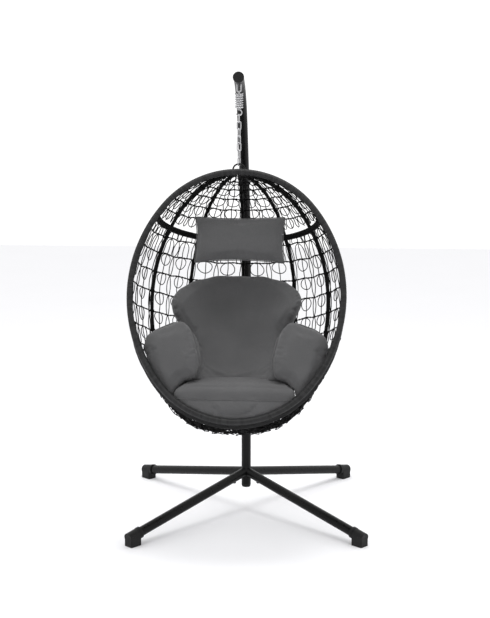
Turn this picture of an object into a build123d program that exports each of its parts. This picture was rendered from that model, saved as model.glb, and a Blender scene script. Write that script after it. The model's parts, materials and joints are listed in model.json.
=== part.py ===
"""Hanging egg chair: cross-base stand with a curved arm, sprung chain, woven basket and cushions.

Row frame: millimetres, +Z up, the open side of the basket faces -Y, origin on the floor
under the middle of the whole chair.
"""
from build123d import *
import os
from math import acos, asin, atan2, cos, degrees, pi, radians, sin, sqrt, tan

# ---- whole object ----
HEIGHT = 1950.0              # floor to the top of the arm's end cap
POST_Y = 112.0               # the post stands behind the origin, so that the origin is the middle
REACH = 444.0                # from the post's axis forward to the line the basket hangs on
HANG_Y = POST_Y - REACH
GAP = 0.3                    # running gap between pieces that move past each other
BIG = 2000.0                 # larger than the basket and the base, for cutting away half-spaces

# ---- stand ----
TUBE_R = 21.0                # post and arm
TUBE_WALL = 2.0
POST_BOTTOM = 121.0
POST_JOINT = 985.0           # the arm plugs into the lower post here
SWAGE_R = TUBE_R - TUBE_WALL - 0.15
SWAGE_LENGTH = 90.0
LEG_R = 20.0
LEG_WALL = 1.5
LEG_HUB_HEIGHT = 178.4       # where the legs' axes meet the post's axis
LEG_FOOT_HEIGHT = 40.0
FOOT_SQUARE = 946.0          # side of the square through the four feet
BASE_TURN = 3.8              # the arm stands this many degrees off square to the base
SPIGOT_LENGTH = 110.0
ARM_RISE = 1034.0            # height where the arm starts to lean forward
ARM_LOWER_RADIUS = 1000.0
ARM_LEAN = 27.0              # degrees from vertical along the arm's straight stretch
ARM_STRAIGHT = 282.0
ARM_UPPER_RADIUS = 367.0
ARM_END_LEAN = 75.0
CAP_R = 22.5                 # cap in the arm's open end
CAP_THICK = 5.0
CAP_ROUND = 2.0
CAP_STEM = 10.0
CAP_STEM_PLAY = 0.6
SPIGOT_R = LEG_R - LEG_WALL - 0.2
SPIGOT_WALL = 2.0
LEG_PAST_FOOT = 22.0         # leg tube past the middle of its foot block
FOOT_BLOCK = (56.0, 47.0, 44.0)
FOOT_CHAMFER = 4.0
CAP_SLEEVE = 40.0            # foot cap's sleeve, from the middle of the block back along the leg
CAP_SLEEVE_WALL = 3.5
CAP_COLLAR = 12.0
CAP_COLLAR_WALL = 5.0
CAP_END_WALL = 5.0
BOLT_R = 4.0
BOLT_PLAY = 0.2
BOLT_AT = 80.0               # leg bolt from the post's axis, along the leg
BOLT_LENGTH = 9.2
BOLT_HEAD_R = 7.0
BOLT_HEAD_HEIGHT = 4.8
BOLT_SOCKET_R = 2.9
BOLT_SOCKET_DEPTH = 3.0
NUT_HEIGHT = 6.5
PLUG_RIM = 3.0
PLUG_DEPTH = 14.0
PLUG_STEM = 18.0

# ---- basket, as a round body about its own tall axis, before it is tilted ----
BASKET_TILT = 17.0           # the rim's plane leans back by this much
RIM_FORWARD = 169.0          # rim's centre in front of the hanging line
RIM_HEIGHT = 1081.9          # rim's centre above the floor
RIM_HALF_WIDTH = 422.0       # to the rim tube's axis
RIM_HALF_HEIGHT = 496.5
RIM_END_RADIUS = 380.0       # radius of the oval's top and bottom arcs
RIM_TUBE_R = 9.5
RIM_TUBE_WALL = 1.2
WRAP_R = 12.5                # outside of the wicker wound round the rim
RIB_R = 6.0
RIB_WALL = 1.5
RIB_OFFSET = -3.5            # ribs' axes inside the rim's oval
RIB_ANGLES = {"left_outer": -59.5, "left_inner": -31.9, "centre": 0.0,
              "right_inner": 31.9, "right_outer": 59.5}
RIB_POLE_GAP = {"left_outer": 36.0, "left_inner": 28.0, "centre": 14.0,
                "right_inner": 28.0, "right_outer": 36.0}
BELT_LEVEL = 316.0           # hoop round the upper basket, where it meets the rim
BELT_SLOPE = 6.6             # the belt comes down by this many degrees towards the rear
BELT_R = 13.0
BELT_WALL = 1.5
SIDE_TURN = 25.0             # the rear meridian's first arc below the widest level, in degrees
SIDE_BULGE = 900.0           # and its radius
FLOOR_TURN = 80.0            # heading, from straight down, where its floor arc starts
END_TURN = 125.0             # heading where it comes up to the rim's foot
CORNER_TURN = 65.0           # the same heading as FLOOR_TURN for the rim's own oval
WEAVE_INNER = 3.0            # the woven shell lies between these offsets from the rim's oval
WEAVE_OUTER = 8.0
WEAVE_FRONT = 18.0           # the weave starts this far behind the rim's plane
NET_END_ANGLE = 88.5         # and this far round the tall axis
NET_POLE_GAP = 12.0
NET_START = radians(41)      # the low net's sections start above the belt, on the side arc's angle
FRAME_FRONT = 13.0           # ribs and belt meet the rim's wrap here
SEAM = 0.1                   # clearance between fixed pieces that meet

# ---- suspension, from the arm down ----
EYE_WIRE_R = 2.5
EYE_HALF = 8.0
EYE_BOTTOM = 1869.5          # axis of the eye's lowest rod
BAR_R = 2.25                 # drawbar wire
BAR_HALF = 6.0
COIL_TOP = 1861.0
COIL_BOTTOM = 1806.0
COIL_WIRE_R = 2.2
COIL_MEAN_R = 14.8
COIL_TURNS = 6
HOOK_R = 11.3
LINK_COUNT = 7
LINK_WIRE_R = 2.3
LINK_HALF = 7.3              # half of a link's width, to its wire's axis
LINK_ANGLES = [90.0, 0.0, 60.0, 140.0, 20.0, 120.0, 60.0]
CHAIN_TOP = 1780.0           # contact between the hook and the first link
LOOP_R = 3.3                 # basket's hanging loop: rod, and half width to the rod's axis
LOOP_HALF = 23.5
LOOP_BEHIND = 14.2           # loop's plane behind the rim's plane

# ---- cushions ----
CUSHION_OFFSET = -16.0       # their backs stay this far inside the rim's oval
BACK_THICK = 100.0
SEAT_TOP = 722.0             # height of the seat's crown above the floor
PILLOW = (364.0, 92.0, 182.0)
PILLOW_LEVEL = 247.0
PILLOW_BEHIND = 150.0
STRAP_AT = 110.0             # webbing straps, each side of the pillow's middle
STRAP_WIDTH = 20.0
STRAP_THICK = 2.0
STRAP_CLEAR = 6.0

EGG = Location((0, HANG_Y - RIM_FORWARD, RIM_HEIGHT), (-BASKET_TILT, 0, 0))
SIDE_RADIUS = (RIM_HALF_WIDTH ** 2 + RIM_HALF_HEIGHT ** 2
               - 2 * RIM_HALF_HEIGHT * RIM_END_RADIUS) / (2 * (RIM_HALF_WIDTH - RIM_END_RADIUS))
END_CENTRE = RIM_HALF_HEIGHT - RIM_END_RADIUS    # height of the top arc's centre
SIDE_CENTRE = RIM_HALF_WIDTH - SIDE_RADIUS       # the side arc's centre, past the axis
ARC_CHANGE = atan2(END_CENTRE, -SIDE_CENTRE)     # angle above level where the two arcs meet

nodes = {}


def tube(path, radius, wall=None):
    """A rod along a path, or a tube when a wall is given."""
    section = Circle(radius) if wall is None else Circle(radius) - Circle(radius - wall)
    return sweep((path ^ 0) * section, path=path)


# ---------------------------------------------------------------- stand

def arm_points():
    """Reach and height where the arm's arcs and straight stretch meet."""
    lean = radians(ARM_LEAN)
    end = radians(ARM_END_LEAN)
    a = (ARM_LOWER_RADIUS * (1 - cos(lean)), ARM_RISE + ARM_LOWER_RADIUS * sin(lean))
    b = (a[0] + ARM_STRAIGHT * sin(lean), a[1] + ARM_STRAIGHT * cos(lean))
    c = (b[0] + ARM_UPPER_RADIUS * (cos(lean) - cos(end)),
         b[1] + ARM_UPPER_RADIUS * (sin(end) - sin(lean)))
    return a, b, c


def arm_path():
    a, b, c = arm_points()
    half = radians(ARM_LEAN / 2)
    low_mid = (ARM_LOWER_RADIUS * (1 - cos(half)), ARM_RISE + ARM_LOWER_RADIUS * sin(half))
    mid = radians((ARM_LEAN + ARM_END_LEAN) / 2)
    lean = radians(ARM_LEAN)
    high_mid = (b[0] + ARM_UPPER_RADIUS * (cos(lean) - cos(mid)),
                b[1] + ARM_UPPER_RADIUS * (sin(mid) - sin(lean)))
    start = Vector(0, POST_Y, POST_JOINT)
    p = [Vector(0, POST_Y - reach, z) for reach, z in ((0, ARM_RISE), low_mid, a, b, high_mid, c)]
    return Wire([Line(start, p[0]), ThreePointArc(p[0], p[1], p[2]), Line(p[2], p[3]),
                 ThreePointArc(p[3], p[4], p[5])])


def leg_frame(angle):
    """Frame at the hub with +X out along a leg, sloping down to its foot."""
    run = FOOT_SQUARE / sqrt(2)
    slope = degrees(atan2(LEG_HUB_HEIGHT - LEG_FOOT_HEIGHT, run))
    return Location((0, POST_Y, LEG_HUB_HEIGHT)) * Location((0, 0, 0), (0, 0, angle)) * Location(
        (0, 0, 0), (0, slope, 0))


def rod_x(start, end, radius):
    """A cylinder along local +X."""
    return Location((start, 0, 0), (0, 90, 0)) * Cylinder(
        radius, end - start, align=(Align.CENTER, Align.CENTER, Align.MIN))


def rod_z(bottom, top, radius, x=0.0, y=0.0):
    return Location((x, y, bottom)) * Cylinder(
        radius, top - bottom, align=(Align.CENTER, Align.CENTER, Align.MIN))


LEG_LENGTH = sqrt((FOOT_SQUARE / sqrt(2)) ** 2 + (LEG_HUB_HEIGHT - LEG_FOOT_HEIGHT) ** 2)
LEGS = {"front_right": -45.0, "rear_right": 45.0, "rear_left": 135.0, "front_left": 225.0}


def lower_post():
    body = rod_z(POST_BOTTOM, POST_JOINT, TUBE_R, y=POST_Y)
    reach = TUBE_R + SPIGOT_LENGTH
    for angle in LEGS.values():
        body += leg_frame(angle + BASE_TURN) * rod_x(0, reach, SPIGOT_R)
    body -= rod_z(POST_BOTTOM, POST_JOINT, TUBE_R - TUBE_WALL, y=POST_Y)
    for angle in LEGS.values():
        frame = leg_frame(angle + BASE_TURN)
        body -= frame * rod_x(TUBE_R, reach, SPIGOT_R - SPIGOT_WALL)
        body -= frame * rod_z(-LEG_R, 0, BOLT_R + BOLT_PLAY, x=BOLT_AT)
    body -= joint_hole(BOLT_R + BOLT_PLAY)
    return body


def joint_hole(radius):
    """The cross hole that pins the arm in the lower post, along Y."""
    level = POST_JOINT - SWAGE_LENGTH / 2
    return Location((0, POST_Y, level), (90, 0, 0)) * Cylinder(radius, 3 * TUBE_R)


def leg_tube(angle):
    """A leg, mitred against its neighbours and notched round the post."""
    length = LEG_LENGTH + LEG_PAST_FOOT
    leg = rod_x(0, length, LEG_R) - rod_x(0, length, LEG_R - LEG_WALL)
    leg -= rod_z(-2 * LEG_R, 0, BOLT_R + 2 * BOLT_PLAY, x=BOLT_AT)
    leg = leg_frame(angle) * leg
    corner = Box(BIG, BIG, BIG, align=(Align.MIN, Align.MIN, Align.CENTER))
    mitre = Location((0, POST_Y, 0), (0, 0, angle)) * Location((SEAM, 0, 0), (0, 0, -45)) * corner
    return (leg & mitre) - rod_z(0, POST_JOINT, TUBE_R + SEAM, y=POST_Y)


def foot_cap(angle):
    """Plastic sleeve with a collar over the leg's end, standing on a square block."""
    start = LEG_LENGTH - CAP_SLEEVE
    sleeve = rod_x(start, LEG_LENGTH + LEG_PAST_FOOT + CAP_END_WALL, LEG_R + CAP_SLEEVE_WALL)
    sleeve += rod_x(start, start + CAP_COLLAR, LEG_R + CAP_COLLAR_WALL)
    place = Location((0, POST_Y, 0)) * Location((0, 0, 0), (0, 0, angle))
    block = Box(*FOOT_BLOCK, align=(Align.CENTER, Align.CENTER, Align.MIN))
    block = chamfer(block.edges().filter_by(Axis.Z), FOOT_CHAMFER)
    cap = leg_frame(angle) * sleeve + place * Location((FOOT_SQUARE / sqrt(2), 0, 0)) * block
    bore = rod_x(start - CAP_SLEEVE, LEG_LENGTH + LEG_PAST_FOOT + 2 * SEAM, LEG_R + SEAM)
    below = Location((0, POST_Y, 0)) * Box(BIG, BIG, BIG, align=(Align.CENTER, Align.CENTER, Align.MAX))
    return cap - leg_frame(angle) * bore - below


def leg_bolt(angle):
    """Cap screw through the underside of a leg tube into its spigot."""
    face = -LEG_R - 2 * SEAM
    shank = rod_z(face, face + BOLT_LENGTH, BOLT_R, x=BOLT_AT)
    head = rod_z(face - BOLT_HEAD_HEIGHT, face, BOLT_HEAD_R, x=BOLT_AT)
    socket = extrude(RegularPolygon(BOLT_SOCKET_R, 6), BOLT_SOCKET_DEPTH)
    socket = Location((BOLT_AT, 0, face - BOLT_HEAD_HEIGHT)) * socket
    return leg_frame(angle) * (head + shank - socket)


def post_plug():
    """Domed black plug in the post's open bottom end."""
    rim = POST_BOTTOM - PLUG_RIM
    ball = Sphere(TUBE_R) & Box(BIG, BIG, BIG, align=(Align.CENTER, Align.CENTER, Align.MAX))
    dome = rod_z(rim, POST_BOTTOM - SEAM, TUBE_R) + Location((0, 0, rim)) * ball
    dome &= rod_z(POST_BOTTOM - PLUG_DEPTH, POST_BOTTOM, TUBE_R)
    stem = rod_z(POST_BOTTOM - SEAM, POST_BOTTOM + PLUG_STEM, TUBE_R - TUBE_WALL - 2 * SEAM)
    return Location((0, POST_Y, 0)) * (dome + stem)


def arm_outline():
    """The arm as a solid bar, for cutting what meets it."""
    return tube(arm_path(), TUBE_R)


def curved_arm():
    shoulder = POST_JOINT + 20
    swage = rod_z(POST_JOINT - SWAGE_LENGTH, POST_JOINT, SWAGE_R, y=POST_Y)
    arm = tube(arm_path(), TUBE_R, TUBE_WALL) + rod_z(POST_JOINT, shoulder, TUBE_R, y=POST_Y) + swage
    arm -= rod_z(POST_JOINT - SWAGE_LENGTH, shoulder, SWAGE_R - TUBE_WALL, y=POST_Y)
    return arm - joint_hole(BOLT_R + 0.2)


def joint_bolt():
    """Cap bolt and nut across the post's joint, head to the rear."""
    level = POST_JOINT - SWAGE_LENGTH / 2
    turn = Location((0, POST_Y, level), (90, 0, 0))
    bolt = Cylinder(BOLT_R, 2 * (TUBE_R + BOLT_R + NUT_HEIGHT / 2))
    head = Location((0, 0, -TUBE_R - SEAM)) * Cylinder(
        BOLT_HEAD_R, BOLT_HEAD_HEIGHT, align=(Align.CENTER, Align.CENTER, Align.MAX))
    nut = Location((0, 0, TUBE_R + SEAM)) * extrude(RegularPolygon(BOLT_HEAD_R, 6), NUT_HEIGHT)
    return turn * (bolt + head + nut)


def arm_cap():
    """Ribbed plastic cap in the arm's open end."""
    end = arm_path() ^ 1
    disc = extrude(Circle(CAP_R), CAP_THICK)
    disc = fillet(disc.edges().group_by(Axis.Z)[-1], CAP_ROUND)
    stem = Location((0, 0, -CAP_STEM)) * extrude(Circle(TUBE_R - TUBE_WALL - CAP_STEM_PLAY), CAP_STEM)
    return end * (disc + stem)


# ---------------------------------------------------------------- basket frame

def oval_point(angle, offset, end_arc):
    """A point on the rim's oval, offset outwards; angle is above level."""
    x, z, r = (0, END_CENTRE, RIM_END_RADIUS) if end_arc else (SIDE_CENTRE, 0, SIDE_RADIUS)
    return Vector(x + (r + offset) * cos(angle), 0, z + (r + offset) * sin(angle))


def half_oval(offset, pole_gap=0.0):
    """The oval's +X half, top to bottom, stopping short of the tall axis by pole_gap."""
    start = pi / 2 - asin(pole_gap / (RIM_END_RADIUS + offset))
    top = [oval_point(a, offset, True) for a in (start, (start + ARC_CHANGE) / 2, ARC_CHANGE)]
    side = Vector(RIM_HALF_WIDTH + offset, 0, 0)
    low = [Vector(p.X, 0, -p.Z) for p in reversed(top)]
    return Wire([ThreePointArc(*top), ThreePointArc(top[2], side, low[0]), ThreePointArc(*low)])


def oval_radius(level, offset):
    """Distance from the tall axis to the offset oval at a level on its side arc."""
    return SIDE_CENTRE + sqrt((SIDE_RADIUS + offset) ** 2 - level ** 2)


def both_halves(half):
    return half + mirror(half, about=Plane.YZ)


def behind(distance):
    """Everything further than distance behind the rim's plane, in the basket's frame."""
    return Location((0, distance, 0)) * Box(
        BIG, BIG, BIG, align=(Align.CENTER, Align.MIN, Align.CENTER))


def low_arcs(angle):
    """Headings and radii of a meridian's three arcs below the widest level.

    The angle is round the tall axis, 0 at the rear. Headings are from straight down, in radians.
    Towards the rear the basket bulges below the rim's foot; at the rim it follows the rim's oval.
    """
    bulge = sqrt(max(cos(radians(angle)), 0))
    rim = (degrees(ARC_CHANGE), CORNER_TURN, 90.0)
    rear = (SIDE_TURN, FLOOR_TURN, END_TURN)
    h1, h2, h3 = [radians(a + (b - a) * bulge) for a, b in zip(rim, rear)]
    first = SIDE_RADIUS + (SIDE_BULGE - SIDE_RADIUS) * bulge
    across = RIM_HALF_WIDTH - first * (1 - cos(h1))
    down = RIM_HALF_HEIGHT - first * sin(h1)
    a, b = cos(h1) - cos(h2), cos(h2) - cos(h3)
    c, d = sin(h2) - sin(h1), sin(h3) - sin(h2)
    second = (across * d - down * b) / (a * d - b * c)
    third = (down * a - across * c) / (a * d - b * c)
    return (0, h1, h2, h3), (first, second, third)


def low_meridian(angle, offset, pole_gap):
    """The arcs of a meridian from the widest level down to pole_gap from the tall axis."""
    headings, radii = low_arcs(angle)
    x, z = RIM_HALF_WIDTH + offset, 0.0
    arcs = []
    for start, end, radius in zip(headings, headings[1:], radii):
        r = radius + offset
        if x - r * (cos(start) - cos(end)) < pole_gap:
            end = acos(cos(start) - (x - pole_gap) / r)
        at = [(x - r * (cos(start) - cos(h)), 0, z - r * (sin(h) - sin(start)))
              for h in (start, (start + end) / 2, end)]
        arcs.append(ThreePointArc(*at))
        x, z = at[2][0], at[2][2]
    return arcs


def high_meridian(offset, pole_gap):
    """The arcs of a meridian from pole_gap beside the tall axis down to the widest level."""
    start = pi / 2 - asin(pole_gap / (RIM_END_RADIUS + offset))
    top = [oval_point(a, offset, True) for a in (start, (start + ARC_CHANGE) / 2, ARC_CHANGE)]
    side = [oval_point(a, offset, False) for a in (ARC_CHANGE, ARC_CHANGE / 2, 0)]
    return [ThreePointArc(*top), ThreePointArc(*side)]


def belt_rear():
    """Where the sloping belt's axis crosses the rear meridian: distance behind, and level."""
    slope = tan(radians(BELT_SLOPE))
    radius = SIDE_RADIUS + RIB_OFFSET
    half = SIDE_CENTRE + BELT_LEVEL * slope
    square = 1 + slope ** 2
    rest = SIDE_CENTRE ** 2 + BELT_LEVEL ** 2 - radius ** 2
    back = (half + sqrt(half ** 2 - square * rest)) / square
    return back, BELT_LEVEL - slope * back


def belt_bar(radius, wall=None):
    side = oval_radius(BELT_LEVEL, RIB_OFFSET)
    back, level = belt_rear()
    path = Wire([ThreePointArc((-side, 0, BELT_LEVEL), (0, back, level), (side, 0, BELT_LEVEL))])
    return tube(path, radius, wall)


def rib(name):
    """A bent rib, in its place round the tall axis, open where the belt passes."""
    gap = RIB_POLE_GAP[name]
    angle = RIB_ANGLES[name]
    path = Wire(high_meridian(RIB_OFFSET, gap) + low_meridian(angle, RIB_OFFSET, gap))
    bar = Location((0, 0, 0), (0, 0, 90 - angle)) * tube(path, RIB_R, RIB_WALL)
    return (bar - belt_bar(BELT_R + SEAM)) & behind(FRAME_FRONT)


def hanging_loop():
    """Bent rod welded behind the rim's top, that the last chain link holds."""
    top = loop_top()
    foot = RIM_HALF_HEIGHT
    centre = top - LOOP_HALF
    path = Wire([
        Line((-LOOP_HALF, LOOP_BEHIND, foot), (-LOOP_HALF, LOOP_BEHIND, centre)),
        ThreePointArc((-LOOP_HALF, LOOP_BEHIND, centre), (0, LOOP_BEHIND, top),
                      (LOOP_HALF, LOOP_BEHIND, centre)),
        Line((LOOP_HALF, LOOP_BEHIND, centre), (LOOP_HALF, LOOP_BEHIND, foot))])
    return tube(path, LOOP_R)


def loop_top():
    """Height of the loop's top rod along the tall axis, so that it is on the hanging line."""
    tilt = radians(BASKET_TILT)
    return (RIM_FORWARD - LOOP_BEHIND * cos(tilt)) / sin(tilt)


def loop_height():
    """Floor to the loop's top rod axis."""
    tilt = radians(BASKET_TILT)
    return RIM_HEIGHT + loop_top() * cos(tilt) - LOOP_BEHIND * sin(tilt)


def net_section(angle):
    """The net's section in the half-plane at an angle, from above the belt to the rim's foot."""
    outlines = []
    for offset in (WEAVE_OUTER, WEAVE_INNER):
        side = [oval_point(a, offset, False) for a in (NET_START, NET_START / 2, 0)]
        outlines.append([ThreePointArc(*side)] + low_meridian(angle, offset, NET_POLE_GAP))
    outer, inner = outlines
    caps = [Line(outer[0] @ 0, inner[0] @ 0), Line(outer[-1] @ 1, inner[-1] @ 1)]
    return Location((0, 0, 0), (0, 0, 90 - angle)) * make_face(outer + inner + caps)


def low_net(start, end):
    """The net below the belt, between two angles round the tall axis."""
    count = 4 if abs(start + end) > 120 else 2
    sections = [net_section(start + (end - start) * i / count) for i in range(count + 1)]
    shell = (loft(sections) & behind(WEAVE_FRONT)) - belt_bar(BELT_R + SEAM)
    return shell.solids().sort_by(Axis.Z)[0]


def high_net(start, end):
    """The net above the belt, between two angles round the tall axis."""
    outer, inner = half_oval(WEAVE_OUTER), half_oval(WEAVE_INNER)
    caps = [Line(outer @ 0, inner @ 0), Line(outer @ 1, inner @ 1)]
    profile = make_face(outer.edges() + inner.edges() + caps)
    profile = Location((0, 0, 0), (0, 0, 90 - end)) * profile
    shell = revolve(profile, axis=Axis.Z, revolution_arc=end - start) & behind(WEAVE_FRONT)
    return (shell - belt_bar(BELT_R + SEAM)).solids().sort_by(Axis.Z)[-1]


# ---------------------------------------------------------------- suspension

def wire_ring(half_width, top, bottom, radius):
    """A closed oval of wire in the XZ plane, between its top and bottom wire axes."""
    high, low = top - half_width, bottom + half_width
    reach = half_width * sin(pi / 4)
    side = Wire([ThreePointArc((0, 0, top), (reach, 0, high + reach), (half_width, 0, high)),
                 Line((half_width, 0, high), (half_width, 0, low)),
                 ThreePointArc((half_width, 0, low), (reach, 0, low - reach), (0, 0, bottom))])
    half = tube(side, radius)
    return half + mirror(half, about=Plane.YZ)


def on_hanging_line(shape, turn=0.0):
    return Location((0, HANG_Y, 0), (0, 0, turn)) * shape


def hanging_eye():
    """Steel U welded under the arm."""
    centre = EYE_BOTTOM + EYE_HALF
    top = centre + 3 * TUBE_R
    path = Wire([Line((-EYE_HALF, 0, top), (-EYE_HALF, 0, centre)),
                 ThreePointArc((-EYE_HALF, 0, centre), (0, 0, EYE_BOTTOM), (EYE_HALF, 0, centre)),
                 Line((EYE_HALF, 0, centre), (EYE_HALF, 0, top))])
    eye = on_hanging_line(tube(path, EYE_WIRE_R)) - arm_outline()
    return eye.solids().sort_by(Axis.Z)[0]


def spring_coil():
    radius = COIL_WIRE_R
    height = COIL_TOP - COIL_BOTTOM - 2 * radius
    path = Helix(height / COIL_TURNS, height, COIL_MEAN_R)
    coil = sweep((path ^ 0) * Circle(radius), path=path, is_frenet=True)
    return on_hanging_line(Location((0, 0, COIL_BOTTOM + radius)) * coil)


def drawbar(closed_end, feet_level):
    """U of wire whose open ends turn outwards over the far end of the coil."""
    up = 1 if closed_end > feet_level else -1
    bend = closed_end - up * BAR_HALF
    foot = COIL_MEAN_R + COIL_WIRE_R
    path = Wire([Line((-BAR_HALF, 0, feet_level), (-BAR_HALF, 0, bend)),
                 ThreePointArc((-BAR_HALF, 0, bend), (0, 0, closed_end), (BAR_HALF, 0, bend)),
                 Line((BAR_HALF, 0, bend), (BAR_HALF, 0, feet_level))])
    bar = tube(path, BAR_R)
    for side in (-1, 1):
        knee = Location((side * BAR_HALF, 0, feet_level)) * Sphere(BAR_R)
        arm = Location((side * BAR_HALF, 0, feet_level), (0, side * 90, 0)) * Cylinder(
            BAR_R, foot - BAR_HALF, align=(Align.CENTER, Align.CENTER, Align.MIN))
        bar += knee + arm
    return bar


def upper_drawbar():
    top = EYE_BOTTOM + EYE_WIRE_R + GAP / 2 + BAR_R
    feet = COIL_BOTTOM - BAR_R - GAP
    return on_hanging_line(drawbar(top, feet), 90)


def lower_drawbar():
    """The lower U, drawn out below the coil into the hook that takes the chain."""
    centre = CHAIN_TOP - GAP / 2 - BAR_R + HOOK_R
    feet = COIL_TOP + BAR_R + GAP
    bar = drawbar(centre + HOOK_R, feet)
    start, end = radians(90), radians(-160)
    mid = (start + end) / 2
    hook = ThreePointArc(*[(HOOK_R * cos(a), 0, centre + HOOK_R * sin(a)) for a in (start, mid, end)])
    return on_hanging_line(bar + tube(Wire([hook]), BAR_R))


def link_pitch():
    return (CHAIN_TOP - (loop_height() - LOOP_R)) / LINK_COUNT


def chain_link(index):
    top = CHAIN_TOP - index * link_pitch()
    bottom = top - link_pitch()
    past = GAP / 2 + LINK_WIRE_R
    ring = wire_ring(LINK_HALF, top + past, bottom - past, LINK_WIRE_R)
    return on_hanging_line(ring, LINK_ANGLES[index])


# ---------------------------------------------------------------- cushions

def room(offset):
    """Everything inside the basket's oval of revolution at an offset."""
    path = half_oval(offset)
    face = make_face(path.edges() + [Line(path @ 1, path @ 0)])
    return revolve(face, axis=Axis.Z, revolution_arc=360)


def plan(points, front, back, grow=0.0):
    """A block behind the rim's plane whose outline, seen from the front, is a polygon."""
    face = make_face(Polyline(*points, close=True).edges())
    if grow:
        face = offset(face, grow)
    return Location((0, back, 0), (90, 0, 0)) * extrude(face, back - front)


def back_outline():
    half = [(0, 114), (105, 100), (190, 73), (243, 40), (262, 2), (256, -45), (230, -92), (194, -135),
            (170, -200), (161, -330)]
    return half + [(-x, z) for x, z in reversed(half[1:])]


def arm_rest_outline(side):
    half = [(192, -128), (218, -103), (265, -124), (315, -142), (344, -160), (350, -190), (335, -262),
            (296, -323), (248, -374), (236, -343), (205, -322), (158, -314), (160, -245), (172, -186)]
    return [(side * x, z) for x, z in half]


def back_cushion():
    """Fan-shaped cushion that leans on the rear of the basket."""
    fan = plan(back_outline(), 100, 450) & room(CUSHION_OFFSET)
    return fan - room(CUSHION_OFFSET - BACK_THICK)


def arm_cushion(side):
    """Bolster between the back, the seat and the rim."""
    block = plan(arm_rest_outline(side), 30, 255) & room(CUSHION_OFFSET)
    return block - plan(back_outline(), 100, 450, grow=2)


def level_block(low, high):
    """A slab between two heights above the floor, in the basket's tilted frame."""
    slab = Box(BIG, BIG, high - low, align=(Align.CENTER, Align.CENTER, Align.MIN))
    return EGG.inverse() * Location((0, 0, low)) * slab


def seat_cushion():
    """Thick seat that fills the bottom of the basket up to the rim."""
    bowl = room(CUSHION_OFFSET) & level_block(0, SEAT_TOP)
    bowl &= plan([(-250, 0), (250, 0), (250, -500), (-250, -500)], 2, 300)
    for side in (-1, 1):
        bowl -= plan(arm_rest_outline(side), 0, 300, grow=2)
    return bowl - plan(back_outline(), 100, 450, grow=2)


def head_pillow():
    pad = Box(*PILLOW)
    pad = fillet(pad.edges(), 30)
    return Location((0, PILLOW_BEHIND, PILLOW_LEVEL)) * pad


def pillow_straps():
    """Two webbing straps from the pillow's back to the belt."""
    start = PILLOW_BEHIND + PILLOW[1] / 2 + GAP
    back, level = belt_rear()
    straps = []
    for x in (-STRAP_AT, STRAP_AT):
        end = sqrt(back ** 2 - x ** 2) - BELT_R - STRAP_CLEAR
        straps.append(Location((x, start, level)) * Box(
            STRAP_WIDTH, end - start, STRAP_THICK, align=(Align.CENTER, Align.MIN, Align.CENTER)))
    return straps[0] + straps[1]


# ---------------------------------------------------------------- assembly

def build_stand():
    nodes["lower_post"] = lower_post()
    nodes["post_plug"] = post_plug()
    for name, angle in LEGS.items():
        nodes["leg_" + name] = leg_tube(angle + BASE_TURN)
        nodes["foot_cap_" + name] = foot_cap(angle + BASE_TURN)
    nodes["leg_bolts"] = Compound([leg_bolt(angle + BASE_TURN).solid() for angle in LEGS.values()])
    nodes["curved_arm"] = curved_arm()
    nodes["post_joint_bolt"] = joint_bolt()
    nodes["arm_end_cap"] = arm_cap()
    nodes["hanging_eye"] = hanging_eye()


def build_suspension():
    nodes["upper_drawbar"] = upper_drawbar()
    nodes["spring_coil"] = spring_coil()
    nodes["lower_drawbar_hook"] = lower_drawbar()
    for index in range(LINK_COUNT):
        nodes["chain_link_%d" % (index + 1)] = chain_link(index)


def build_basket():
    loop = hanging_loop()
    wrap = both_halves(tube(half_oval(0), WRAP_R, WRAP_R - RIM_TUBE_R))
    parts = {
        "hanging_loop": loop,
        "rim_tube": both_halves(tube(half_oval(0), RIM_TUBE_R, RIM_TUBE_WALL)),
        "rim_wrap": wrap - loop,
        "belt_hoop": belt_bar(BELT_R, BELT_WALL) & behind(FRAME_FRONT)}
    for name in RIB_ANGLES:
        parts["rib_" + name] = rib(name)
    edges = [-NET_END_ANGLE] + list(RIB_ANGLES.values()) + [NET_END_ANGLE]
    for number, (start, end) in enumerate(zip(edges, edges[1:]), 1):
        parts["weave_low_%d" % number] = low_net(start, end)
        parts["weave_high_%d" % number] = high_net(start, end)
    parts["back_cushion"] = back_cushion()
    parts["arm_cushion_left"] = arm_cushion(-1)
    parts["arm_cushion_right"] = arm_cushion(1)
    parts["seat_cushion"] = seat_cushion()
    parts["head_pillow"] = head_pillow()
    parts["pillow_straps"] = pillow_straps()
    for name, shape in parts.items():
        nodes[name] = EGG * shape


def write_parts():
    os.makedirs("parts", exist_ok=True)
    for name, shape in nodes.items():
        export_step(shape, "parts/%s.step" % name)


build_stand()
build_suspension()
build_basket()
write_parts()
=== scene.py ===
"""Looks of the hanging egg chair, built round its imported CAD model.
Metres, +Z up, the basket opens to -Y."""

import json
import math

import bpy
import numpy as np
from mathutils import Matrix, Vector, noise
from mathutils.bvhtree import BVHTree
from mathutils.kdtree import KDTree


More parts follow.
